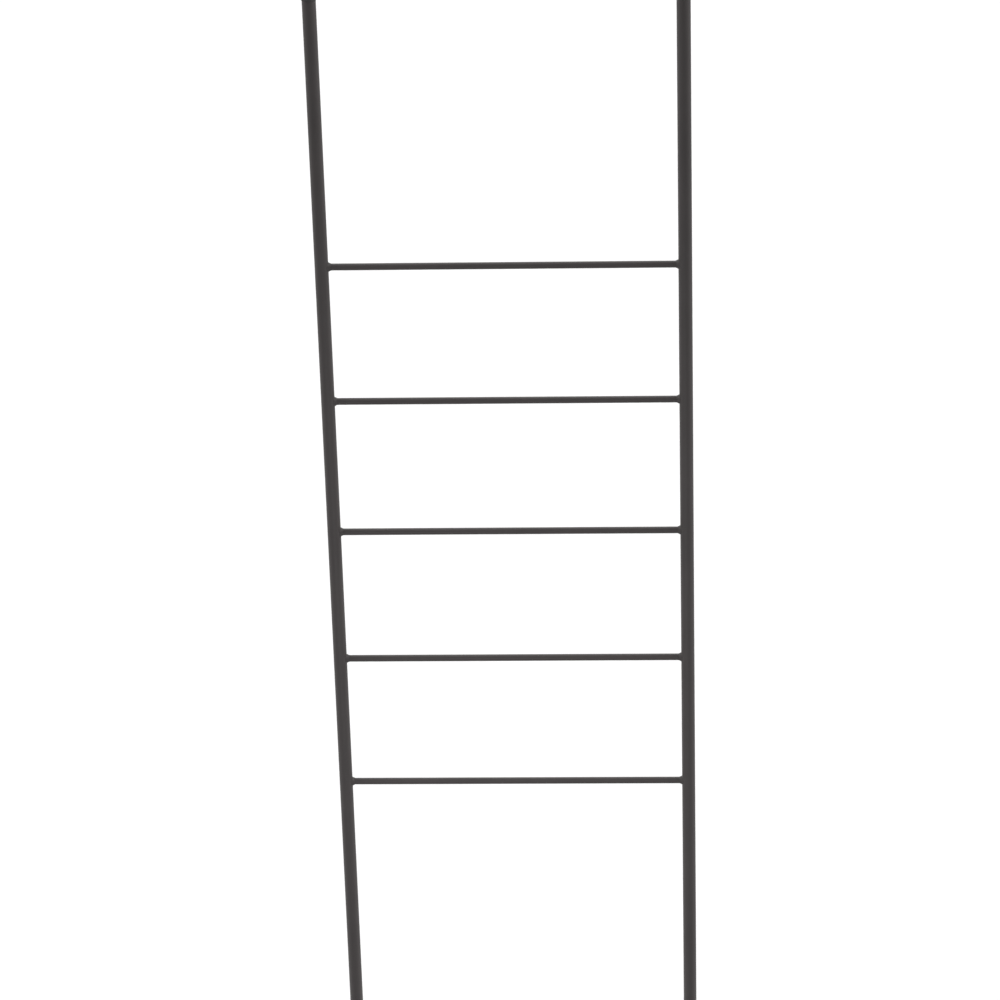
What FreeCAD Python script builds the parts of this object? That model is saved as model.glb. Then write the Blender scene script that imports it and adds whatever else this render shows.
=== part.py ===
import FreeCAD, Part
import os

import Sketcher

# A blanket ladder, which leans on a wall.
#
# Two round steel tubes stand side by side as rails, and solid round rods run between them as rungs.
# Each rung is butted on the rails with saddle-cut ends, and a bead of weld runs round each end.
# A soft cap is pushed over each of the four tube ends, to spare the wall and the floor.
#
# Frame: the rails run along Z and the rungs along X. -Y is the front and +Y the wall side.
# The origin is on the floor, midway between the two feet.

# Driving sizes in millimetres: name, value, what it measures.
DRIVING_SIZES = (
    ("total_height", "1420", "floor to the top of the upper caps"),
    ("rail_spacing", "425", "between the centre lines of the two rails"),
    ("rail_diameter", "16.2", "outside diameter of the rail tube: 16 mm and its coat"),
    ("rail_wall", "1.2", "wall of the rail tube"),
    ("rung_diameter", "8.2", "diameter of the rung rod: 8 mm and its coat"),
    ("rung_count", "5", "number of rungs"),
    ("rung_pitch", "175", "from one rung's centre line to the next"),
    ("top_bay", "361", "top of the ladder to the top rung's centre line"),
    ("weld_rise", "1.8", "height of a weld bead up the rail, from the rung's skin"),
    ("weld_run", "3.5", "length of a weld bead along the rung, from the rail's skin"),
    ("cap_wall", "1", "wall of the sleeve of a cap"),
    ("cap_grip", "25", "length of tube that a cap covers"),
    ("cap_end", "3", "thickness of the closed end of a cap"),
    ("cap_rounding", "2", "rounding of the closed end of a cap"),
    ("cap_lip", "0.4", "rounding of the mouth of a cap"),
    ("cap_clearance", "0.05", "radial gap between a cap's sleeve and the tube"),
)

# What the pieces take from those sizes.
RAIL_RADIUS = "dims.rail_diameter / 2"
RAIL_BORE_RADIUS = "dims.rail_diameter / 2 - dims.rail_wall"
RAIL_LENGTH = "dims.total_height - 2 * dims.cap_end"
RAIL_PLACE = "dims.rail_spacing / 2"
RUNG_RADIUS = "dims.rung_diameter / 2"
TOP_RUNG_HEIGHT = "dims.total_height - dims.top_bay"
CAP_BORE_RADIUS = "dims.rail_diameter / 2 + dims.cap_clearance"
CAP_RADIUS = "dims.rail_diameter / 2 + dims.cap_clearance + dims.cap_wall"
CAP_LENGTH = "dims.cap_end + dims.cap_grip"

# Lengths of rail and rung that a weld is drawn on, and that are cut away again.
RAIL_STUB_LENGTH = "dims.rung_diameter + 4 * dims.weld_rise"
RUNG_STUB_LENGTH = "dims.rail_diameter / 2 + 2 * dims.weld_run"

# Each side's name, the sign of its X, and the turn about Z that points a weld at the rungs.
SIDES = (("left", -1, 0), ("right", 1, 180))

UPRIGHT = FreeCAD.Vector(0, 0, 1)
CLOSED_END_UP = FreeCAD.Rotation(FreeCAD.Vector(1, 0, 0), 180)
CLOSED_END_DOWN = FreeCAD.Rotation()

# A sketch's own origin point and X axis, as its constraints number them.
SKETCH_ORIGIN = (-1, 1)
SKETCH_X_AXIS = (-1,)

SAME_HEIGHT = 1e-4
LEAST_CUT_MM3 = 1


def make_sheet(doc):
    """Adds the spreadsheet that holds the driving sizes."""
    sheet = doc.addObject("Spreadsheet::Sheet", "dims")
    for row, (alias, value, meaning) in enumerate(DRIVING_SIZES, start=1):
        sheet.set(f"A{row}", alias)
        sheet.set(f"B{row}", value)
        sheet.set(f"C{row}", meaning)
        sheet.setAlias(f"B{row}", alias)
    doc.recompute()
    return sheet


def new_body(doc, label, across, up, rotation):
    """Adds an empty body, turned once and then placed by the sheet."""
    body = doc.addObject("PartDesign::Body", label)
    body.Label = label
    body.Placement = FreeCAD.Placement(FreeCAD.Vector(), rotation)
    body.setExpression("Placement.Base.x", across)
    body.setExpression("Placement.Base.z", up)
    return body


def new_feature(body, kind, name):
    """Adds a PartDesign feature to a body, named after both."""
    return body.newObject(f"PartDesign::{kind}", f"{body.Label}_{name}")


def new_sketch(body, name, role):
    """Adds an empty sketch on one of the body's own origin planes."""
    plane = next(p for p in body.Origin.OriginFeatures if p.Role == role)
    sketch = body.newObject("Sketcher::SketchObject", f"{body.Label}_{name}")
    sketch.AttachmentSupport = (plane, [""])
    sketch.MapMode = "FlatFace"
    return sketch


def add_dimension(sketch, name, constraint, expression):
    """Adds a dimension to a sketch and ties it to the sheet."""
    index = sketch.addConstraint(constraint)
    sketch.renameConstraint(index, name)
    sketch.setExpression(f"Constraints.{name}", expression)


def draw_circle(sketch, name, radius, across=0):
    """Draws a circle at its size and place, and returns its centre as constraints name it."""
    size = sketch.evalExpression(radius)
    drawn = Part.Circle(FreeCAD.Vector(across, 0, 0), UPRIGHT, size)
    circle = sketch.addGeometry(drawn, False)
    add_dimension(sketch, name, Sketcher.Constraint("Radius", circle, size), radius)
    return (circle, 3)


def add_circle(sketch, name, radius):
    """Adds a circle round the sketch's origin."""
    centre = draw_circle(sketch, name, radius)
    sketch.addConstraint(Sketcher.Constraint("Coincident", *centre, *SKETCH_ORIGIN))


def add_far_circle(sketch, name, radius, reach, sign):
    """Adds a circle out along the sketch's X axis, on the side that the sign gives."""
    distance = sketch.evalExpression(reach)
    centre = draw_circle(sketch, name, radius, sign * distance)
    sketch.addConstraint(Sketcher.Constraint("PointOnObject", *centre, *SKETCH_X_AXIS))
    ends = (*SKETCH_ORIGIN, *centre) if sign > 0 else (*centre, *SKETCH_ORIGIN)
    across = Sketcher.Constraint("DistanceX", *ends, distance)
    add_dimension(sketch, f"{name}_reach", across, reach)


def pad(body, sketch, name, length, side_type="One side"):
    """Extrudes a sketch by a length that follows the sheet."""
    feature = new_feature(body, "Pad", name)
    feature.Profile = sketch
    feature.SideType = side_type
    feature.setExpression("Length", length)
    return feature


def cut_through(body, sketch, name):
    """Cuts a sketch right through the body, both ways from the sketch's plane."""
    feature = new_feature(body, "Pocket", name)
    feature.Profile = sketch
    feature.Type = "ThroughAll"
    feature.SideType = "Symmetric"
    return feature


def rung_height(number):
    """Height of a rung's centre line. Number 1 is the top rung."""
    return f"{TOP_RUNG_HEIGHT} - {number - 1} * dims.rung_pitch"


def make_rail(doc, side, sign):
    """A plain tube, from the closed end of its foot cap to the closed end of its top cap."""
    across = f"{sign} * {RAIL_PLACE}"
    body = new_body(doc, f"{side}_rail", across, "dims.cap_end", FreeCAD.Rotation())
    section = new_sketch(body, "section", "XY_Plane")
    add_circle(section, "outside", RAIL_RADIUS)
    add_circle(section, "inside", RAIL_BORE_RADIUS)
    pad(body, section, "tube", RAIL_LENGTH)
    return body


def make_rung(doc, number):
    """A solid rod, drawn from rail centre to rail centre and cut back to the rails' skins."""
    body = new_body(doc, f"rung_{number}", "0", rung_height(number), FreeCAD.Rotation())
    section = new_sketch(body, "section", "YZ_Plane")
    add_circle(section, "rod", RUNG_RADIUS)
    pad(body, section, "rod", f"2 * {RAIL_PLACE}", "Symmetric")
    saddles = new_sketch(body, "saddles", "XY_Plane")
    for side, sign, _ in SIDES:
        add_far_circle(saddles, f"{side}_rail", RAIL_RADIUS, RAIL_PLACE, sign)
    cut_through(body, saddles, "saddle_cut")
    return body


def crossing_edges(shape):
    """Names of the edges where the rung's skin meets the rail's: neither straight nor a circle."""
    plain = (Part.Line, Part.Circle)
    edges = enumerate(shape.Edges, start=1)
    return [f"Edge{index}" for index, edge in edges if not isinstance(edge.Curve, plain)]


def make_weld(doc, number, side, sign, turn):
    """The bead of weld round one end of a rung.

    A length of rail and a length of rung are joined and the corner between them is filled.
    Both are then taken out again, so that only the ring of weld metal is left.
    """
    across = f"{sign} * {RAIL_PLACE}"
    rotation = FreeCAD.Rotation(UPRIGHT, turn)
    body = new_body(doc, f"weld_{number}_{side}", across, rung_height(number), rotation)
    rail_section = new_sketch(body, "rail_section", "XY_Plane")
    add_circle(rail_section, "rail", RAIL_RADIUS)
    rung_section = new_sketch(body, "rung_section", "YZ_Plane")
    add_circle(rung_section, "rung", RUNG_RADIUS)
    pad(body, rail_section, "rail_stub", RAIL_STUB_LENGTH, "Symmetric")
    joined = pad(body, rung_section, "rung_stub", RUNG_STUB_LENGTH)
    doc.recompute()
    bead = new_feature(body, "Chamfer", "bead")
    bead.Base = (joined, crossing_edges(joined.Shape))
    bead.ChamferType = "Two distances"
    bead.setExpression("Size", "dims.weld_rise")
    bead.setExpression("Size2", "dims.weld_run")
    cut_through(body, rail_section, "rail_space")
    cut_through(body, rung_section, "rung_space")
    return body


def rim_edges(shape, height):
    """Names of the circular edges that lie level at one height."""
    names = []
    for index, edge in enumerate(shape.Edges, start=1):
        if isinstance(edge.Curve, Part.Circle) and abs(edge.Curve.Center.z - height) < SAME_HEIGHT:
            names.append(f"Edge{index}")
    return names


def round_rim(doc, body, name, base, height, radius):
    """Rounds the rim of a solid end, at the top or bottom of a cap."""
    feature = new_feature(body, "Fillet", name)
    feature.Base = (base, rim_edges(base.Shape, height))
    feature.setExpression("Radius", radius)
    doc.recompute()
    return feature


def make_cap(doc, label, sign, up, rotation):
    """A soft cup that is pushed over a tube end, drawn with its closed end down, at height 0."""
    body = new_body(doc, label, f"{sign} * {RAIL_PLACE}", up, rotation)
    skin = new_sketch(body, "skin", "XY_Plane")
    add_circle(skin, "skin", CAP_RADIUS)
    plug = pad(body, skin, "plug", CAP_LENGTH)
    doc.recompute()
    closed_end = round_rim(doc, body, "closed_end", plug, 0, "dims.cap_rounding")
    round_rim(doc, body, "mouth", closed_end, plug.Length.Value, "dims.cap_lip")
    bore = new_sketch(body, "bore", "XY_Plane")
    bore.setExpression("AttachmentOffset.Base.z", CAP_LENGTH)
    add_circle(bore, "bore", CAP_BORE_RADIUS)
    seat = new_feature(body, "Pocket", "tube_seat")
    seat.Profile = bore
    seat.setExpression("Length", "dims.cap_grip")
    return body


def make_parts(doc, sheet):
    """Makes every sub-part, and returns their bodies."""
    parts = []
    for side, sign, turn in SIDES:
        parts.append(make_rail(doc, side, sign))
        parts.append(make_cap(doc, f"{side}_foot_cap", sign, "0", CLOSED_END_DOWN))
        parts.append(make_cap(doc, f"{side}_top_cap", sign, "dims.total_height", CLOSED_END_UP))
        for number in range(1, int(sheet.rung_count) + 1):
            parts.append(make_weld(doc, number, side, sign, turn))
    for number in range(1, int(sheet.rung_count) + 1):
        parts.append(make_rung(doc, number))
    doc.recompute()
    return parts


def check_parts(doc, parts):
    """Stops if an object failed, a cut took nothing away, or a sub-part isn't one valid solid."""
    for obj in doc.Objects:
        if "Invalid" in obj.State or "Error" in obj.State:
            raise RuntimeError(f"{obj.Label} failed: {obj.State}")
    for cut in doc.findObjects("PartDesign::Pocket"):
        if cut.BaseFeature.Shape.Volume - cut.Shape.Volume < LEAST_CUT_MM3:
            raise RuntimeError(f"{cut.Label} cut nothing away")
    for part in parts:
        if part.Shape.isNull() or not part.Shape.isValid() or len(part.Shape.Solids) != 1:
            raise RuntimeError(f"{part.Label} isn't one valid solid")


def write_parts(parts):
    """Writes each sub-part to its own file, and prints its volume and box."""
    os.makedirs("parts", exist_ok=True)
    for part in parts:
        part.Shape.exportStep(f"parts/{part.Label}.step")
        box = part.Shape.optimalBoundingBox(True, False)
        print(
            f"{part.Label}: {part.Shape.Volume:.1f} mm3,"
            f" X {box.XMin:.2f} to {box.XMax:.2f},"
            f" Y {box.YMin:.2f} to {box.YMax:.2f},"
            f" Z {box.ZMin:.2f} to {box.ZMax:.2f}"
        )


def main():
    doc = FreeCAD.newDocument("blanket_ladder")
    sheet = make_sheet(doc)
    parts = make_parts(doc, sheet)
    check_parts(doc, parts)
    write_parts(parts)


main()
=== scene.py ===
"""A blanket ladder in matte charcoal powder coat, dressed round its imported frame.

Two round tubes carry five slim rods. Each rod is welded all round at both ends, and a
soft moulded cap closes each end of each tube. Everything is in metres, with +Z up, the
floor at Z = 0, +X along the rods and the front of the ladder facing -Y.
"""
import logging
import math
from contextlib import contextmanager
from dataclasses import dataclass
from enum import Enum
from functools import partial
from typing import Callable, Iterator, Protocol

import bmesh
import bpy
from mathutils import Matrix, Quaternion, Vector


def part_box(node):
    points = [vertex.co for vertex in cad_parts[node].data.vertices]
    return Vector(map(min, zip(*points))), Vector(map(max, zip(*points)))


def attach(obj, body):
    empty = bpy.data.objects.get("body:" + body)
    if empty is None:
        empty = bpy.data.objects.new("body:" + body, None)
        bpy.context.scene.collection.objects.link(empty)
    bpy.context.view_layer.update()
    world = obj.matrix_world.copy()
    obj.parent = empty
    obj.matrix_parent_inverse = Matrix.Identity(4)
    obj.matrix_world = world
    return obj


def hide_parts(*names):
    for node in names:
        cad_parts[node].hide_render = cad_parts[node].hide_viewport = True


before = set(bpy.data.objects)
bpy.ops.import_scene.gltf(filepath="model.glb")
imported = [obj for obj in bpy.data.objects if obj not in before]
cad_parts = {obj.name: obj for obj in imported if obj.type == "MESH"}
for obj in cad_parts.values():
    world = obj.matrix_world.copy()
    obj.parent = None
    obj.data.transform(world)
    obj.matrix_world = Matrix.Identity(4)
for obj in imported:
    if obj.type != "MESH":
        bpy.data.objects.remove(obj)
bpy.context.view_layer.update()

MAIN_BODY = "root"
MM = 0.001

# Places closer together than this count as one.
SAME_PLACE = 0.01 * MM
# A face whose normal points up or down by more than this lies level.
LEVEL_NORMAL = 0.9
# Edges that turn by more degrees than this stay crisp on a smoothed piece.
CRISP_TURN = 35.0
# Solidify's offset for a wall that grows inwards from the skin.
INWARDS = -1.0
# A noise pattern hardly leaves this range.
NOISE_LOW = 0.3
NOISE_HIGH = 0.7
WHITE = (1.0, 1.0, 1.0, 1.0)

LOG = logging.getLogger("blanket_ladder")

Colour = tuple[float, float, float]
Place = tuple[float, float, float]
Piece = bpy.types.Object
Material = bpy.types.Material
Socket = bpy.types.NodeSocket
Weight = Callable[[Vector], float]


class Side(Enum):
    """The two sides of the ladder, as seen from the front."""

    LEFT = "left"
    RIGHT = "right"


class TubeEnd(Enum):
    """The two ends of a rail, which take the same cap the other way up."""

    TOP = "top"
    FOOT = "foot"


class Axis(Enum):
    """The three axes, each with its place in a vector."""

    X = 0
    Y = 1
    Z = 2


class Lift(Enum):
    """The ways in which a weight moves a point, by the displace modifier's own names."""

    OUTWARDS = "NORMAL"
    ALONG_X = "X"
    ALONG_Y = "Y"


class Finish(Protocol):
    """A surface finish: its slot in the record, and a way to make its material."""

    @property
    def slot(self) -> str:
        """The finish's slot in the record."""

    def material(self) -> Material:
        """Makes the finish's material."""


@dataclass(frozen=True)
class Span:
    """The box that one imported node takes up.

    Attributes:
        low: The box's lowest corner.
        high: The box's highest corner.
    """

    low: Vector
    high: Vector

    @classmethod
    def of(cls, node: str) -> "Span":
        """Reads a node's box from the frame.

        Args:
            node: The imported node's name.

        Returns:
            The node's box.
        """
        low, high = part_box(node)
        return cls(Vector(low), Vector(high))

    @property
    def centre(self) -> Vector:
        """The middle of the box."""
        return (self.low + self.high) / 2

    @property
    def size(self) -> Vector:
        """The box's length along each axis."""
        return self.high - self.low


def rung_nodes() -> list[str]:
    """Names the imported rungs, from the top down."""
    return sorted(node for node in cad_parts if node.startswith("rung_"))


# Modelling by hand, one step to a function.


def clear_selection() -> None:
    """Leaves edit mode and deselects every object."""
    active = bpy.context.view_layer.objects.active
    if active and active.mode != "OBJECT":
        bpy.ops.object.mode_set(mode="OBJECT")
    bpy.ops.object.select_all(action="DESELECT")


def make_active(piece: Piece) -> None:
    """Selects one piece and nothing else.

    Args:
        piece: The piece that the next operators work on.
    """
    clear_selection()
    piece.select_set(True)
    bpy.context.view_layer.objects.active = piece


@contextmanager
def editing(piece: Piece) -> Iterator[None]:
    """Opens a piece in edit mode with nothing selected, and closes it again.

    Args:
        piece: The piece to edit.
    """
    make_active(piece)
    bpy.ops.object.mode_set(mode="EDIT")
    bpy.ops.mesh.select_all(action="DESELECT")
    yield
    bpy.ops.object.mode_set(mode="OBJECT")


@contextmanager
def selecting(piece: Piece, mode: str) -> Iterator[bmesh.types.BMesh]:
    """Lends a piece's mesh with nothing selected, and takes its new selection back.

    Args:
        piece: The piece in edit mode.
        mode: The select mode: VERT, EDGE or FACE.

    Yields:
        The piece's mesh.
    """
    bpy.ops.mesh.select_mode(type=mode)
    bpy.ops.mesh.select_all(action="DESELECT")
    yield bmesh.from_edit_mesh(piece.data)
    bmesh.update_edit_mesh(piece.data)


def select_faces(piece: Piece, wanted: Callable[[bmesh.types.BMFace], bool]) -> None:
    """Selects the faces that pass a test, in edit mode.

    Args:
        piece: The piece in edit mode.
        wanted: Says whether a face is selected.
    """
    with selecting(piece, "FACE") as mesh:
        for face in mesh.faces:
            face.select_set(wanted(face))


def select_edges(piece: Piece, wanted: Callable[[bmesh.types.BMEdge], bool]) -> None:
    """Selects the edges that pass a test, in edit mode.

    Args:
        piece: The piece in edit mode.
        wanted: Says whether an edge is selected.
    """
    with selecting(piece, "EDGE") as mesh:
        for edge in mesh.edges:
            edge.select_set(wanted(edge))


def select_vertices(piece: Piece, wanted: Callable[[Vector], bool]) -> None:
    """Selects the vertices whose place passes a test, in edit mode.

    Args:
        piece: The piece in edit mode.
        wanted: Says whether a vertex at a place is selected.
    """
    with selecting(piece, "VERT") as mesh:
        for vertex in mesh.verts:
            vertex.select_set(wanted(vertex.co))
        mesh.select_flush(True)


def face_lies_at(height: float, face: bmesh.types.BMFace) -> bool:
    """Says whether a face lies level at a height.

    Args:
        height: The height.
        face: The face.

    Returns:
        True for a level face whose middle is at the height.
    """
    return abs(face.normal.z) > LEVEL_NORMAL and abs(face.calc_center_median().z - height) < SAME_PLACE


def edge_lies_at(height: float, edge: bmesh.types.BMEdge) -> bool:
    """Says whether an edge has both its ends at a height."""
    return all(abs(vertex.co.z - height) < SAME_PLACE for vertex in edge.verts)


def edge_length_along(axis: Axis, edge: bmesh.types.BMEdge) -> float:
    """Measures how far an edge runs along an axis."""
    return abs(edge.verts[0].co[axis.value] - edge.verts[1].co[axis.value])


def add_rod(
    name: str,
    radius: float,
    length: float,
    centre: Vector,
    facets: int,
    axis: Axis = Axis.Z,
    closed: bool = True,
) -> Piece:
    """Adds a round bar at its size and place, with the place in its mesh.

    Args:
        name: The new object's name.
        radius: The bar's radius.
        length: The bar's length.
        centre: The middle of the bar.
        facets: How many flats go round it.
        axis: The axis that the bar lies along, X or Z.
        closed: Whether the bar's ends have faces.

    Returns:
        The new object, with its origin at the frame's origin.
    """
    clear_selection()
    turn = math.pi / 2 if axis is Axis.X else 0.0
    bpy.ops.mesh.primitive_cylinder_add(
        vertices=facets,
        radius=radius,
        depth=length,
        end_fill_type="NGON" if closed else "NOTHING",
        location=centre,
        rotation=(0, turn, 0),
    )
    piece = bpy.context.view_layer.objects.active
    piece.name = name
    piece.data.name = name
    bpy.ops.object.transform_apply(location=True, rotation=True, scale=True)
    return piece


def cut_rings(piece: Piece, axis: Axis, length: float, rings: int) -> None:
    """Divides a bar along its length by cutting its long edges.

    Args:
        piece: The bar.
        axis: The axis that it lies along.
        length: The bar's length.
        rings: How many cuts it gets.
    """
    with editing(piece):
        select_edges(piece, lambda edge: edge_length_along(axis, edge) > length / 2)
        bpy.ops.mesh.subdivide(number_cuts=rings)


def apply_modifier(piece: Piece, kind: str, **settings: object) -> None:
    """Adds a modifier with its settings and applies it.

    Args:
        piece: The piece to change.
        kind: The modifier's type.
        **settings: The modifier's own settings.
    """
    make_active(piece)
    modifier = piece.modifiers.new(kind.title(), kind)
    for key, value in settings.items():
        setattr(modifier, key, value)
    bpy.ops.object.modifier_apply(modifier=modifier.name)


def move_by_weight(piece: Piece, weight: Weight, distance: float, lift: Lift) -> None:
    """Paints a weight on a mesh and moves each point by its weight.

    Args:
        piece: The piece to change.
        weight: Gives the weight, 0 to 1, of a point at a place.
        distance: How far a point of weight 1 moves.
        lift: Which way the points move.
    """
    group = piece.vertex_groups.new(name="lift")
    for vertex in piece.data.vertices:
        group.add([vertex.index], weight(vertex.co), "REPLACE")
    apply_modifier(
        piece,
        "DISPLACE",
        vertex_group=group.name,
        direction=lift.value,
        mid_level=0.0,
        strength=distance,
    )
    piece.vertex_groups.clear()


def copy_mesh(piece: Piece, name: str, move: Matrix) -> Piece:
    """Copies a piece with a mesh of its own, moved or mirrored in that mesh.

    Args:
        piece: The piece that was modelled.
        name: The copy's name.
        move: What takes the piece's mesh to the copy's place.

    Returns:
        The copy, with its origin at the frame's origin.
    """
    mesh = piece.data.copy()
    mesh.name = name
    mesh.transform(move)
    if move.determinant() < 0:
        mesh.flip_normals()
    twin = bpy.data.objects.new(name, mesh)
    bpy.context.scene.collection.objects.link(twin)
    return twin


def mirror_about(axis: Axis, place: float) -> Matrix:
    """Gives the mirror across a plane square to one axis.

    Args:
        axis: The axis that turns round.
        place: Where the plane crosses that axis.

    Returns:
        The mirror as a matrix.
    """
    normal = Vector((0, 0, 0))
    normal[axis.value] = 1
    return Matrix.Translation(2 * place * normal) @ Matrix.Scale(-1, 4, normal)


def finish_piece(
    piece: Piece, node: str, finish: Finish, material: Material, crisp_turn: float = CRISP_TURN
) -> None:
    """Smooths a piece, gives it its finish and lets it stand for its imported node.

    Args:
        piece: The finished shape.
        node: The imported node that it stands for.
        finish: The finish that the piece takes.
        material: The finish's material.
        crisp_turn: Edges that turn by more degrees than this stay crisp.
    """
    make_active(piece)
    bpy.ops.object.shade_smooth_by_angle(angle=math.radians(crisp_turn))
    piece.data.materials.clear()
    piece.data.materials.append(material)
    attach(piece, MAIN_BODY)
    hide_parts(node)
    LOG.info("%s: %d faces, %s", piece.name, len(piece.data.polygons), finish.slot)


# Finishes.


class ShaderGraph:
    """A material's node tree, with short calls that add and join nodes."""

    def __init__(self, name: str) -> None:
        """Starts a material with its main shader.

        Args:
            name: The material's name.
        """
        self.material = bpy.data.materials.new(name)
        self.material.use_nodes = True
        self.tree = self.material.node_tree
        self.shader = self.tree.nodes["Principled BSDF"]
        self.place = self.add("ShaderNodeTexCoord").outputs["Object"]

    def add(self, kind: str, values: dict[str, object] | None = None) -> bpy.types.Node:
        """Adds a node.

        Args:
            kind: The node's type.
            values: Numbers and colours for its sockets, by name.

        Returns:
            The new node.
        """
        node = self.tree.nodes.new(kind)
        for key, value in (values or {}).items():
            node.inputs[key].default_value = value
        return node

    def join(self, output: Socket, socket: Socket) -> None:
        """Joins an output to a socket."""
        self.tree.links.new(output, socket)

    def noise(self, size: float, detail: float, roughness: float = 0.5) -> Socket:
        """Adds a noise pattern on the object's own coordinates.

        Args:
            size: The size of one patch, in metres.
            detail: How many finer layers the pattern has.
            roughness: How strong the finer layers are.

        Returns:
            The pattern's output, 0.5 on average.
        """
        node = self.add("ShaderNodeTexNoise", {"Scale": 1 / size, "Detail": detail, "Roughness": roughness})
        self.join(self.place, node.inputs["Vector"])
        return node.outputs["Fac"]

    def spread(self, source: Socket, low: float, high: float) -> Socket:
        """Spreads a noise pattern over a range of values.

        Args:
            source: The pattern.
            low: The value at the pattern's usual lowest.
            high: The value at its usual highest.

        Returns:
            The spread pattern's output.
        """
        values = {"From Min": NOISE_LOW, "From Max": NOISE_HIGH, "To Min": low, "To Max": high}
        node = self.add("ShaderNodeMapRange", values)
        self.join(source, node.inputs["Value"])
        return node.outputs["Result"]

    def blend(self, source: Socket, dark: Colour, light: Colour) -> Socket:
        """Turns a noise pattern into a blend of two colours.

        Args:
            source: The pattern.
            dark: The colour where the pattern is low.
            light: The colour where it is high.

        Returns:
            The blended colour's output.
        """
        node = self.add("ShaderNodeValToRGB")
        for stop, place, colour in zip(node.color_ramp.elements, (NOISE_LOW, NOISE_HIGH), (dark, light)):
            stop.position = place
            stop.color = (*colour, 1)
        self.join(source, node.inputs["Fac"])
        return node.outputs["Color"]

    def bump(self, source: Socket, height: float, under: Socket | None = None) -> Socket:
        """Raises a surface by a pattern.

        Args:
            source: The pattern.
            height: How far the pattern rises from 0 to 1, in metres.
            under: The normal of a coarser bump below this one, if there is one.

        Returns:
            The bumped normal's output.
        """
        node = self.add("ShaderNodeBump", {"Strength": 1.0, "Distance": height})
        self.join(source, node.inputs["Height"])
        if under:
            self.join(under, node.inputs["Normal"])
        return node.outputs["Normal"]


@dataclass(frozen=True)
class PowderCoat:
    """Matte charcoal powder coat: a fine grain on a gentle orange peel, with a slow drift in shade.

    Attributes:
        slot: The finish's slot in the record.
        dark: The colour where the drift is darkest.
        light: The colour where the drift is lightest.
        drift: The size of one patch of the drift.
        grain: The size of one grain.
        grain_height: How far the grain rises.
        peel: The size of one dimple of the orange peel.
        peel_height: How far the orange peel rises.
        smoothest: The shader's roughness where the grain is low.
        roughest: The shader's roughness where the grain is high.
        specular: The shader's specular level.
    """

    slot: str = "powder_coat"
    dark: Colour = (0.0365, 0.0322, 0.0320)
    light: Colour = (0.0433, 0.0382, 0.0380)
    drift: float = 90 * MM
    grain: float = 0.5 * MM
    grain_height: float = 0.03 * MM
    peel: float = 2.4 * MM
    peel_height: float = 0.03 * MM
    smoothest: float = 0.46
    roughest: float = 0.58
    specular: float = 0.25

    def material(self) -> Material:
        """Makes the powder coat's material.

        Returns:
            The material.
        """
        graph = ShaderGraph(self.slot)
        inputs = graph.shader.inputs
        inputs["Specular IOR Level"].default_value = self.specular
        shade = graph.noise(self.drift, detail=3)
        graph.join(graph.blend(shade, self.dark, self.light), inputs["Base Color"])
        grain = graph.noise(self.grain, detail=2, roughness=0.6)
        graph.join(graph.spread(grain, self.smoothest, self.roughest), inputs["Roughness"])
        peel = graph.bump(graph.noise(self.peel, detail=1), self.peel_height)
        graph.join(graph.bump(grain, self.grain_height, peel), inputs["Normal"])
        return graph.material


@dataclass(frozen=True)
class SoftCapRubber:
    """Soft black moulded rubber, duller and darker than the coat, with a faint bloom.

    Attributes:
        slot: The finish's slot in the record.
        dark: The colour of the bare rubber.
        bloomed: The colour under the bloom.
        bloom: The size of one patch of the bloom.
        skin: The size of one pore of the moulded skin.
        skin_height: How far the skin rises.
        smoothest: The shader's roughness of the bare rubber.
        roughest: The shader's roughness under the bloom.
        specular: The shader's specular level.
    """

    slot: str = "soft_cap"
    dark: Colour = (0.0270, 0.0246, 0.0246)
    bloomed: Colour = (0.0355, 0.0330, 0.0330)
    bloom: float = 5 * MM
    skin: float = 0.35 * MM
    skin_height: float = 0.015 * MM
    smoothest: float = 0.62
    roughest: float = 0.74
    specular: float = 0.30

    def material(self) -> Material:
        """Makes the rubber's material.

        Returns:
            The material.
        """
        graph = ShaderGraph(self.slot)
        inputs = graph.shader.inputs
        inputs["Specular IOR Level"].default_value = self.specular
        bloom = graph.noise(self.bloom, detail=4, roughness=0.6)
        graph.join(graph.blend(bloom, self.dark, self.bloomed), inputs["Base Color"])
        graph.join(graph.spread(bloom, self.smoothest, self.roughest), inputs["Roughness"])
        graph.join(graph.bump(graph.noise(self.skin, detail=2), self.skin_height), inputs["Normal"])
        return graph.material


# The ladder's own pieces.


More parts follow.
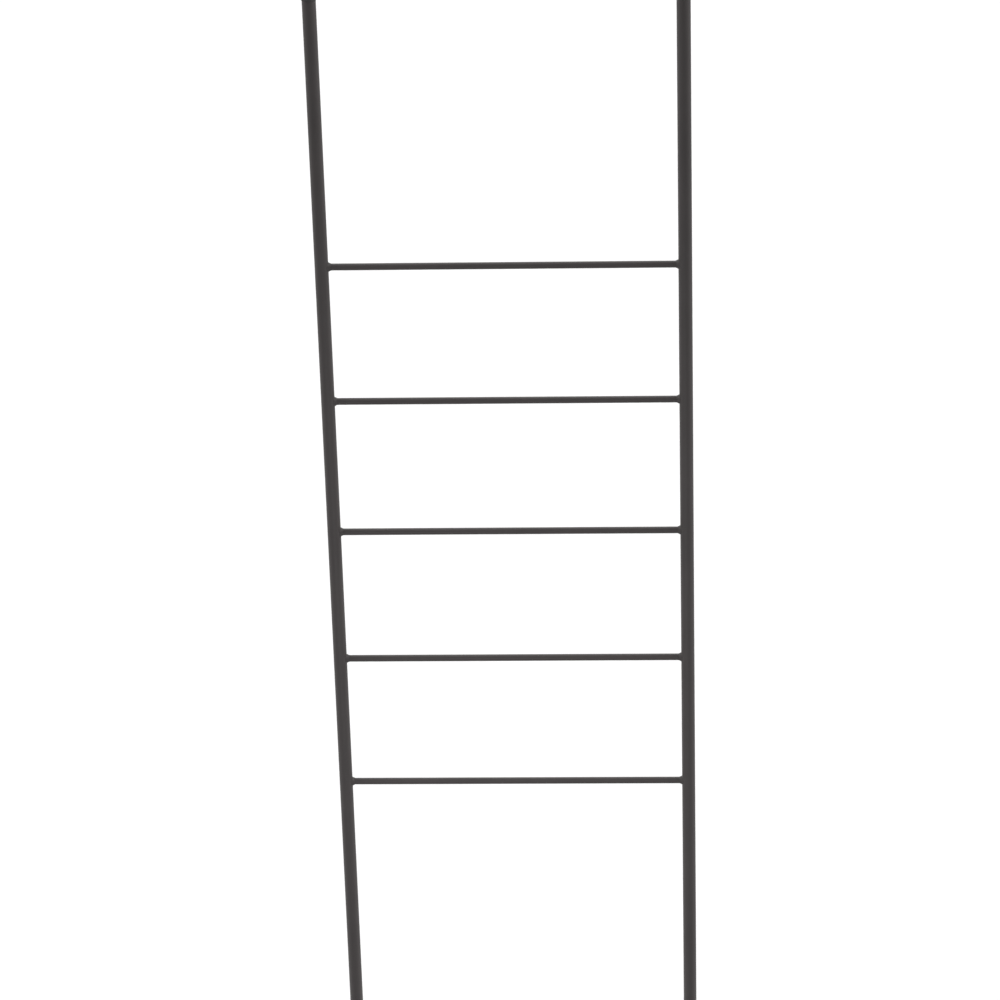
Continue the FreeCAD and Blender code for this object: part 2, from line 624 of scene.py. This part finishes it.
@dataclass
class Rails:
    """The two upright tubes, open inside from cap to cap.

    Attributes:
        finish: The finish that both tubes take.
        material: The finish's material.
        wall: The thickness of the tube's wall.
        deburr: The width of the bevel on the tube's cut ends.
        deburr_steps: How many flats that bevel has.
        facets: How many flats go round a tube.
        rings: How many cuts divide a tube along its length.
    """

    finish: Finish
    material: Material
    wall: float = 1.2 * MM
    deburr: float = 0.3 * MM
    deburr_steps: int = 3
    facets: int = 80
    rings: int = 15

    def build(self) -> list[Piece]:
        """Builds and dresses both tubes.

        Returns:
            The left and the right tube.
        """
        left = self.model_tube(f"{Side.LEFT.value}_tube", Span.of("left_rail"))
        right = copy_mesh(left, f"{Side.RIGHT.value}_tube", mirror_about(Axis.X, 0.0))
        for piece, side in zip((left, right), Side):
            finish_piece(piece, f"{side.value}_rail", self.finish, self.material)
        return [left, right]

    def model_tube(self, name: str, span: Span) -> Piece:
        """Models one tube: a round skin, cut into rings, given its wall and deburred.

        Args:
            name: The tube's name.
            span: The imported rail's box.

        Returns:
            The tube.
        """
        tube = add_rod(name, span.size.x / 2, span.size.z, span.centre, self.facets, closed=False)
        cut_rings(tube, Axis.Z, span.size.z, self.rings)
        apply_modifier(tube, "SOLIDIFY", thickness=self.wall, offset=INWARDS)
        apply_modifier(tube, "BEVEL", width=self.deburr, segments=self.deburr_steps, limit_method="ANGLE")
        return tube


@dataclass
class Rungs:
    """The five round rods, with each end cut to sit on the rail's round face.

    Attributes:
        finish: The finish that the rods take.
        material: The finish's material.
        facets: How many flats go round a rod.
        rings: How many cuts divide a rod along its length.
        cutter_facets: How many flats go round the cutter that shapes a saddle.
        cutter_height: The cutter's height, in rod diameters.
    """

    finish: Finish
    material: Material
    facets: int = 56
    rings: int = 11
    cutter_facets: int = 160
    cutter_height: float = 4.0

    def build(self) -> list[Piece]:
        """Builds and dresses the rungs: one is modelled, and the others are its copies.

        Returns:
            The rungs, from the top down.
        """
        nodes = rung_nodes()
        spans = [Span.of(node) for node in nodes]
        first = self.model_rod("rod_1", spans[0], Span.of("left_rail"), Span.of("right_rail"))
        rods = [first]
        for number, span in enumerate(spans[1:], start=2):
            drop = Matrix.Translation(span.centre - spans[0].centre)
            rods.append(copy_mesh(first, f"rod_{number}", drop))
        for rod, node in zip(rods, nodes):
            finish_piece(rod, node, self.finish, self.material)
        return rods

    def model_rod(self, name: str, span: Span, left: Span, right: Span) -> Piece:
        """Models one rod, from rail centre to rail centre, and cuts a saddle at each end.

        Args:
            name: The rod's name.
            span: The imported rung's box.
            left: The left rail's box.
            right: The right rail's box.

        Returns:
            The rod.
        """
        length = right.centre.x - left.centre.x
        rod = add_rod(name, span.size.z / 2, length, span.centre, self.facets, axis=Axis.X)
        cut_rings(rod, Axis.X, length, self.rings)
        for rail in (left, right):
            place = Vector((rail.centre.x, 0.0, span.centre.z))
            height = self.cutter_height * span.size.z
            cutter = add_rod("saddle_cutter", rail.size.x / 2, height, place, self.cutter_facets)
            apply_modifier(rod, "BOOLEAN", operation="DIFFERENCE", object=cutter, solver="EXACT")
            bpy.data.objects.remove(cutter)
        return rod


@dataclass(frozen=True)
class RungJoint:
    """Where a rung meets the left rail, with the legs of the bead between them.

    Attributes:
        face: Where the rail's line nearest to the rung crosses X.
        level: The height of the rung's centre line.
        rod: The rung's radius.
        tube: The rail's radius.
        rise: The bead's leg up the rail.
        run: The bead's leg along the rung.
        narrowing: How much less the bead reaches to the side than up the rail.
    """

    face: float
    level: float
    rod: float
    tube: float
    rise: float
    run: float
    narrowing: float

    @classmethod
    def of(cls, bead: Span, rung: Span, rail: Span) -> "RungJoint":
        """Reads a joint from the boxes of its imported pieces.

        Args:
            bead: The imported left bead's box.
            rung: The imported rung's box.
            rail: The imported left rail's box.

        Returns:
            The joint.
        """
        rod, tube = rung.size.z / 2, rail.size.x / 2
        face = rail.centre.x + tube
        return cls(
            face=face,
            level=rung.centre.z,
            rod=rod,
            tube=tube,
            rise=bead.size.z / 2 - rod,
            run=bead.high.x - face,
            narrowing=(bead.size.z - bead.size.y) / 2,
        )

    def along(self, point: Vector) -> float:
        """Says how far a point lies from the rail's toe to the rung's toe, 0 to 1."""
        return min(max((point.x - self.face) / self.run, 0.0), 1.0)

    def around(self, point: Vector) -> float:
        """Gives a point's angle round the rung, in radians."""
        return math.atan2(point.z - self.level, point.y)

    def out(self, point: Vector) -> float:
        """Gives a point's distance from the rung's centre line."""
        return math.hypot(point.y, point.z - self.level)

    def beside(self, side: int, point: Vector) -> float:
        """Says how far out a point lies to one side of the rung, 0 to 1.

        Args:
            side: 1 for the side towards the wall, -1 for the front.
            point: The point's place.

        Returns:
            1 at the rail's toe level with the rung, and 0 on the rung or on the other side.
        """
        out = self.out(point)
        return min(max((out - self.rod) / self.rise, 0.0), 1.0) * max(side * point.y / out, 0.0)

    def fall_away(self, point: Vector) -> float:
        """Says how far the rail's round face falls away beside the rung's middle, in rail radii."""
        return (self.tube - math.sqrt(self.tube ** 2 - point.y ** 2)) / self.tube


@dataclass(frozen=True)
class Wave:
    """One slow wave in a hand-laid bead's width, round the rung.

    Attributes:
        crests: How many crests it has.
        share: Its height, as a share of the bead's waver.
        start: Where it starts, in radians.
    """

    crests: int
    share: float
    start: float

    def at(self, angle: float) -> float:
        """Gives the wave's height at an angle round the rung."""
        return self.share * math.sin(self.crests * angle + self.start)


@dataclass
class WeldBeads:
    """The bead that runs round each rung end, laid in overlapping ripples on the rail's round face.

    Attributes:
        finish: The finish that the beads take.
        material: The finish's material.
        steps: How many times the section is set round the rung.
        outer_points: How many points draw the section's outer face.
        sink: How deep the root lies in both metals.
        hollow: The power that bends the outer face inwards. 1 would leave it straight.
        ripples: How many ripples lie round the rung.
        ripple_height: How far a ripple rises.
        ripple_bow: How far a ripple's middle lies ahead of its ends, in ripples.
        ripple_crest: The power that broadens a ripple's crest. 1 would leave a plain wave.
        waver: How far the bead swells at its widest.
        even_swell: The swell that the waves play about, as a share of the waver.
        waves: The waves in the swell.
        crisp_turn: Edges that turn by more degrees than this stay crisp.
    """

    finish: Finish
    material: Material
    steps: int = 160
    outer_points: int = 11
    sink: float = 0.10 * MM
    hollow: float = 2.0
    ripples: int = 16
    ripple_height: float = 0.24 * MM
    ripple_bow: float = 0.35
    ripple_crest: float = 0.6
    waver: float = 0.12 * MM
    even_swell: float = 0.5
    waves: tuple[Wave, ...] = (
        Wave(crests=2, share=0.3, start=0.8),
        Wave(crests=5, share=0.2, start=2.3),
    )
    crisp_turn: float = 60.0

    def build(self) -> list[Piece]:
        """Builds and dresses the beads: one is modelled, and each joint has a copy, turned its own way.

        Returns:
            The beads, from the top joint down, left before right.
        """
        rungs = rung_nodes()
        top = Span.of(rungs[0])
        joint = RungJoint.of(Span.of("weld_1_left"), top, Span.of("left_rail"))
        pattern = self.model_bead("bead_pattern", joint)
        beads = []
        for number, rung in enumerate(rungs, start=1):
            drop = Matrix.Translation(Span.of(rung).centre - top.centre)
            for side in Side:
                move = drop @ self.turn(number, side, top.centre.z)
                bead = copy_mesh(pattern, f"bead_{number}_{side.value}", move)
                node = f"weld_{number}_{side.value}"
                finish_piece(bead, node, self.finish, self.material, self.crisp_turn)
                beads.append(bead)
        bpy.data.objects.remove(pattern)
        return beads

    @staticmethod
    def turn(number: int, side: Side, height: float) -> Matrix:
        """Gives a joint its own way round, so that no two neighbours show the same ripples.

        A right bead is mirrored from the left one. Every second rung has its beads upside down,
        and about every third joint has its bead back to front.

        Args:
            number: The rung's number.
            side: The side that the joint is on.
            height: The height of the modelled bead's rung.

        Returns:
            The mirrors that take the modelled bead to this joint.
        """
        move = Matrix.Identity(4)
        if side is Side.RIGHT:
            move = mirror_about(Axis.X, 0.0) @ move
        if number % 2 == 0:
            move = mirror_about(Axis.Z, height) @ move
        if (number + (side is Side.RIGHT)) % 3 == 0:
            move = mirror_about(Axis.Y, 0.0) @ move
        return move

    def model_bead(self, name: str, joint: RungJoint) -> Piece:
        """Models a left bead: its section is spun round the rung, rippled and laid on the rail.

        Args:
            name: The bead's name.
            joint: The joint that the bead closes.

        Returns:
            The bead.
        """
        piece = self.draw_section(name, joint)
        with editing(piece):
            bpy.ops.mesh.select_all(action="SELECT")
            centre = (0.0, 0.0, joint.level)
            bpy.ops.mesh.spin(steps=self.steps, angle=math.tau, center=centre, axis=(1, 0, 0))
            bpy.ops.mesh.select_all(action="SELECT")
            bpy.ops.mesh.remove_doubles(threshold=SAME_PLACE)
            bpy.ops.mesh.normals_make_consistent(inside=False)
        move_by_weight(piece, partial(self.ripple, joint), self.ripple_height, Lift.OUTWARDS)
        move_by_weight(piece, partial(self.wander, joint), self.waver, Lift.OUTWARDS)
        for side in (1, -1):
            move_by_weight(piece, partial(joint.beside, side), -side * joint.narrowing, Lift.ALONG_Y)
        move_by_weight(piece, joint.fall_away, -joint.tube, Lift.ALONG_X)
        return piece

    def draw_section(self, name: str, joint: RungJoint) -> Piece:
        """Draws a bead's closed section above the rung: a hollow face, and a root sunk into both metals.

        Args:
            name: The bead's name.
            joint: The joint that the bead closes.

        Returns:
            The section as a loop of edges.
        """
        section = []
        for step in range(self.outer_points):
            share = step / (self.outer_points - 1)
            out = joint.rod + joint.rise * (1 - share) ** self.hollow
            section.append((joint.face + joint.run * share, out))
        section.append((joint.face + joint.run, joint.rod - self.sink))
        section.append((joint.face - self.sink, joint.rod - self.sink))
        section.append((joint.face - self.sink, joint.rod + joint.rise))
        clear_selection()
        bpy.ops.mesh.primitive_circle_add(vertices=len(section), radius=joint.rise, fill_type="NOTHING")
        piece = bpy.context.view_layer.objects.active
        piece.name = name
        for vertex, (across, out) in zip(piece.data.vertices, section):
            vertex.co = (across, 0.0, joint.level + out)
        return piece

    def is_outside(self, joint: RungJoint, point: Vector) -> bool:
        """Says whether a point lies on the bead's outer face, and not in its root."""
        return joint.out(point) > joint.rod - self.sink / 2

    def ripple(self, joint: RungJoint, point: Vector) -> float:
        """Gives the height of the overlapping ripples, each a crescent that bows along its middle.

        Args:
            joint: The joint that the bead closes.
            point: A point on the bead.

        Returns:
            The height, 0 to 1.
        """
        if not self.is_outside(joint, point):
            return 0.0
        share = joint.along(point)
        bow = self.ripple_bow * (1 - (2 * share - 1) ** 2)
        phase = (joint.around(point) / math.tau * self.ripples + bow) % 1.0
        return (math.sin(math.pi * share) * math.sin(math.pi * phase)) ** self.ripple_crest

    def wander(self, joint: RungJoint, point: Vector) -> float:
        """Gives how much wider a hand-laid bead is here, from a few slow waves round the rung.

        Args:
            joint: The joint that the bead closes.
            point: A point on the bead.

        Returns:
            The swell, 0 to 1.
        """
        if not self.is_outside(joint, point):
            return 0.0
        angle = joint.around(point)
        swell = sum((wave.at(angle) for wave in self.waves), start=self.even_swell)
        return swell * math.sin(math.pi * joint.along(point))


@dataclass
class EndCaps:
    """The soft caps stretched over the four tube ends.

    Attributes:
        finish: The finish that the caps take.
        material: The finish's material.
        facets: How many flats go round a cap.
        wall: The cap's thickness round the tube.
        lip_height: The height of the thicker lip at the mouth.
        lip_step: How far the lip stands proud, and how high its shoulder is.
        draft: How far the cap draws in from its shoulder to its closed end.
        rounding: The radius of the closed end's edge.
        rounding_steps: How many flats that edge has.
        edge: The width of the bevel at the mouth.
        edge_steps: How many flats that bevel has.
        land: The width of the closed end's flat rim.
        dish: The depth of the dish inside the rim, and the width of its slope.
        gate: The radius of the gate mark in the middle of the dish.
        gate_height: How far the gate mark rises, and the width of its slope.
    """

    finish: Finish
    material: Material
    facets: int = 72
    wall: float = 1.0 * MM
    lip_height: float = 2.4 * MM
    lip_step: float = 0.18 * MM
    draft: float = 0.15 * MM
    rounding: float = 2.0 * MM
    rounding_steps: int = 8
    edge: float = 0.3 * MM
    edge_steps: int = 3
    land: float = 2.6 * MM
    dish: float = 0.35 * MM
    gate: float = 1.1 * MM
    gate_height: float = 0.2 * MM

    def build(self) -> list[Piece]:
        """Builds and dresses the caps: one is modelled at the top left, and each end has a copy.

        Returns:
            The caps: left top, right top, left foot, right foot.
        """
        top, foot = Span.of("left_top_cap"), Span.of("left_foot_cap")
        pattern = self.model_cap("cap_pattern", top, Span.of("left_rail"))
        across = mirror_about(Axis.X, 0.0)
        down = mirror_about(Axis.Z, (top.centre.z + foot.centre.z) / 2)
        caps = []
        for end, flip in ((TubeEnd.TOP, Matrix.Identity(4)), (TubeEnd.FOOT, down)):
            for side, move in ((Side.LEFT, flip), (Side.RIGHT, across @ flip)):
                cap = copy_mesh(pattern, f"{side.value}_{end.value}_soft_cap", move)
                finish_piece(cap, f"{side.value}_{end.value}_cap", self.finish, self.material)
                caps.append(cap)
        bpy.data.objects.remove(pattern)
        return caps

    def model_cap(self, name: str, span: Span, rail: Span) -> Piece:
        """Models one cap with its closed end up.

        Args:
            name: The cap's name.
            span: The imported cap's box.
            rail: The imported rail's box, which the cap grips.

        Returns:
            The cap.
        """
        cap = add_rod(name, span.size.x / 2, span.size.z, span.centre, self.facets)
        with editing(cap):
            self.step_lip(cap, span)
            self.shape_end(cap, span)
            self.open_mouth(cap, span.low.z, rail.high.z)
        return cap

    @staticmethod
    def draw_in(span: Span, amount: float) -> None:
        """Draws the selected points in towards an upright round piece's own axis, in edit mode.

        Args:
            span: The box of the round piece.
            amount: How far a point on the piece's outer face moves.
        """
        factor = 1 - amount / (span.size.x / 2)
        bpy.ops.transform.resize(value=(factor, factor, 1), center_override=span.centre)

    def step_lip(self, cap: Piece, span: Span) -> None:
        """Steps the cap in above its lip, and tapers it towards its closed end.

        Args:
            cap: The cap in edit mode.
            span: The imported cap's box.
        """
        shoulder = span.low.z + self.lip_height
        for height in (shoulder, shoulder + self.lip_step):
            bpy.ops.mesh.select_all(action="SELECT")
            bpy.ops.mesh.bisect(plane_co=(0, 0, height), plane_no=(0, 0, 1))
        select_vertices(cap, lambda place: place.z > shoulder + self.lip_step / 2)
        self.draw_in(span, self.lip_step)
        select_vertices(cap, lambda place: place.z > span.high.z - SAME_PLACE)
        self.draw_in(span, self.draft)

    def shape_end(self, cap: Piece, span: Span) -> None:
        """Rounds the closed end, and gives it a flat rim, a shallow dish and a gate mark.

        Args:
            cap: The cap in edit mode.
            span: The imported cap's box.
        """
        radius = span.size.x / 2
        select_edges(cap, partial(edge_lies_at, span.high.z))
        bpy.ops.mesh.bevel(offset=self.rounding, segments=self.rounding_steps, affect="EDGES")
        select_faces(cap, partial(face_lies_at, span.high.z))
        bpy.ops.mesh.inset(thickness=self.land)
        bpy.ops.mesh.inset(thickness=self.dish)
        bpy.ops.transform.translate(value=(0, 0, -self.dish))
        floor = radius - self.rounding - self.land - self.dish - self.gate - self.draft - self.lip_step
        bpy.ops.mesh.inset(thickness=floor)
        bpy.ops.mesh.inset(thickness=self.gate_height)
        bpy.ops.transform.translate(value=(0, 0, self.gate_height))

    def open_mouth(self, cap: Piece, mouth: float, tube_end: float) -> None:
        """Hollows the cap from its mouth to the tube's end, and breaks the mouth's edges.

        Args:
            cap: The cap in edit mode.
            mouth: The height of the cap's mouth.
            tube_end: The height of the tube's end.
        """
        select_faces(cap, partial(face_lies_at, mouth))
        bpy.ops.mesh.inset(thickness=self.wall)
        bpy.ops.mesh.extrude_region_move(TRANSFORM_OT_translate={"value": (0, 0, tube_end - mouth)})
        select_edges(cap, partial(edge_lies_at, mouth))
        bpy.ops.mesh.bevel(offset=self.edge, segments=self.edge_steps, affect="EDGES")


# The studio.


@dataclass(frozen=True)
class SoftLight:
    """One broad even light, as from a large soft box that stands well away.

    Attributes:
        name: The light's name.
        towards: Which way the light lies from the ladder.
        level: How bright it makes a card square to it, as a share of the card's written colour.
        spread: The angle that it fills, in degrees.
    """

    name: str
    towards: Place
    level: float
    spread: float

    def hang(self) -> None:
        """Hangs the light so that a card square to it renders at its written colour times the level."""
        data = bpy.data.lights.new(self.name, "SUN")
        data.energy = math.pi * self.level
        data.angle = math.radians(self.spread)
        lamp = bpy.data.objects.new(self.name, data)
        lamp.rotation_mode = "QUATERNION"
        lamp.rotation_quaternion = (-Vector(self.towards)).to_track_quat("-Z", "Y")
        bpy.context.scene.collection.objects.link(lamp)


@dataclass(frozen=True)
class LowSoftBox:
    """A small soft box low in front and a little to the left, which lifts the ladder's lower half.

    Attributes:
        aside: How far it stands to the right. Less than 0 is to the left.
        distance: How far it stands in front.
        height: The height of its middle.
        size: The length of its sides.
        power: Its power in watts.
    """

    aside: float = -0.12
    distance: float = 0.9
    height: float = 0.2
    size: float = 0.7
    power: float = 3.55

    def hang(self) -> None:
        """Hangs the soft box so that it faces the ladder squarely."""
        data = bpy.data.lights.new("low_softbox", "AREA")
        data.shape = "SQUARE"
        data.size = self.size
        data.energy = self.power
        lamp = bpy.data.objects.new("low_softbox", data)
        lamp.location = (self.aside, -self.distance, self.height)
        lamp.rotation_euler = (math.pi / 2, 0.0, 0.0)
        lamp.visible_camera = False
        bpy.context.scene.collection.objects.link(lamp)


@dataclass
class Studio:
    """A plain pale floor, a white surround, a high light behind, one at each side and a low one in front.

    Attributes:
        floor_size: The length of the floor's sides.
        floor_gap: How far the floor lies below the caps, so that their ends don't flicker in it.
        floor_colour: The floor's colour under the lamps.
        floor_roughness: How matte the floor is.
        floor_glow: What lifts the lit floor to white, where it is seen.
        surround: The strength of the even light from all round.
        lights: The lamps.
    """

    floor_size: float = 60.0
    floor_gap: float = 0.1 * MM
    floor_colour: Colour = (0.30, 0.30, 0.30)
    floor_roughness: float = 0.9
    floor_glow: float = 0.64
    surround: float = 0.18
    lights: tuple[SoftLight | LowSoftBox, ...] = (
        SoftLight("high_back_light", towards=(0.0, 0.55, 0.85), level=0.65, spread=60),
        SoftLight("left_light", towards=(-0.90, -0.10, 0.42), level=0.74, spread=50),
        SoftLight("right_light", towards=(0.90, -0.10, 0.42), level=0.90, spread=50),
        LowSoftBox(),
    )

    def build(self) -> None:
        """Lays the floor, lights the surround and hangs the lights."""
        self.lay_floor()
        self.light_surround()
        for light in self.lights:
            light.hang()
        LOG.info("studio: floor, surround and %d soft lights", len(self.lights))

    @staticmethod
    def seen_directly(tree: bpy.types.NodeTree) -> Socket:
        """Adds a test for what the camera sees, straight or in a gloss or through glass.

        Args:
            tree: The node tree of the floor or the world.

        Returns:
            An output that is 1 for such rays and 0 for the light that falls on things.
        """
        path = tree.nodes.new("ShaderNodeLightPath")
        found = path.outputs["Is Camera Ray"]
        for name in ("Is Glossy Ray", "Is Transmission Ray"):
            either = tree.nodes.new("ShaderNodeMath")
            either.operation = "MAXIMUM"
            tree.links.new(found, either.inputs[0])
            tree.links.new(path.outputs[name], either.inputs[1])
            found = either.outputs["Value"]
        return found

    def lay_floor(self) -> None:
        """Lays a floor that looks white and keeps the ladder's shadow."""
        clear_selection()
        bpy.ops.mesh.primitive_plane_add(size=self.floor_size, location=(0, 0, -self.floor_gap))
        floor = bpy.context.view_layer.objects.active
        floor.name = "studio_floor"
        material = bpy.data.materials.new("floor_paint")
        material.use_nodes = True
        tree = material.node_tree
        shader = tree.nodes["Principled BSDF"]
        shader.inputs["Base Color"].default_value = (*self.floor_colour, 1)
        shader.inputs["Roughness"].default_value = self.floor_roughness
        shader.inputs["Specular IOR Level"].default_value = 0.0
        shader.inputs["Emission Color"].default_value = WHITE
        glow = tree.nodes.new("ShaderNodeMath")
        glow.operation = "MULTIPLY"
        glow.inputs[1].default_value = self.floor_glow
        tree.links.new(self.seen_directly(tree), glow.inputs[0])
        tree.links.new(glow.outputs["Value"], shader.inputs["Emission Strength"])
        floor.data.materials.append(material)

    def light_surround(self) -> None:
        """Makes the surround white where it is seen, and an even soft light elsewhere."""
        world = bpy.data.worlds.new("surround")
        bpy.context.scene.world = world
        world.use_nodes = True
        tree = world.node_tree
        background = tree.nodes["Background"]
        background.inputs["Color"].default_value = WHITE
        level = tree.nodes.new("ShaderNodeMapRange")
        level.inputs["To Min"].default_value = self.surround
        level.inputs["To Max"].default_value = 1.0
        tree.links.new(self.seen_directly(tree), level.inputs["Value"])
        tree.links.new(level.outputs["Result"], background.inputs["Strength"])


@dataclass
class ProductCamera:
    """The camera at the photograph's viewing angle: in front, well above and a little to the right.

    Attributes:
        aim: The place that it looks at.
        distance: How far it stands from that place.
        azimuth: How far round to the right it stands, in degrees.
        elevation: How far above level it stands, in degrees.
        roll: How far it is turned about its own view, in degrees.
        lens_mm: The lens's focal length in millimetres.
    """

    aim: Place = (-0.0114, 0.0, 0.7509)
    distance: float = 5.277
    azimuth: float = 2.76
    elevation: float = 27.35
    roll: float = -1.63
    lens_mm: float = 158.4

    def place(self) -> None:
        """Places the camera and makes it the scene's own."""
        azimuth, elevation = math.radians(self.azimuth), math.radians(self.elevation)
        level = math.cos(elevation)
        back = Vector((math.sin(azimuth) * level, -math.cos(azimuth) * level, math.sin(elevation)))
        roll = Quaternion((0, 0, 1), math.radians(self.roll))
        data = bpy.data.cameras.new("product_camera")
        data.lens = self.lens_mm
        camera = bpy.data.objects.new("product_camera", data)
        camera.location = Vector(self.aim) + back * self.distance
        camera.rotation_mode = "QUATERNION"
        camera.rotation_quaternion = (-back).to_track_quat("-Z", "Y") @ roll
        bpy.context.scene.collection.objects.link(camera)
        bpy.context.scene.camera = camera
        LOG.info("camera: %.1f mm lens, %.2f m away", self.lens_mm, self.distance)


def clear_starting_objects() -> None:
    """Removes the objects that a new Blender file starts with."""
    for name in ("Cube", "Light", "Camera"):
        if name in bpy.data.objects:
            bpy.data.objects.remove(bpy.data.objects[name])


def main() -> None:
    """Places the camera, and builds the studio and the ladder, piece by piece."""
    logging.basicConfig(level=logging.INFO, format="%(name)s: %(message)s")
    clear_starting_objects()
    bpy.context.scene.view_settings.view_transform = "Standard"
    ProductCamera().place()
    Studio().build()
    coat, rubber = PowderCoat(), SoftCapRubber()
    coat_material, rubber_material = coat.material(), rubber.material()
    Rails(coat, coat_material).build()
    Rungs(coat, coat_material).build()
    WeldBeads(coat, coat_material).build()
    EndCaps(rubber, rubber_material).build()


if __name__ == "__main__":
    main()
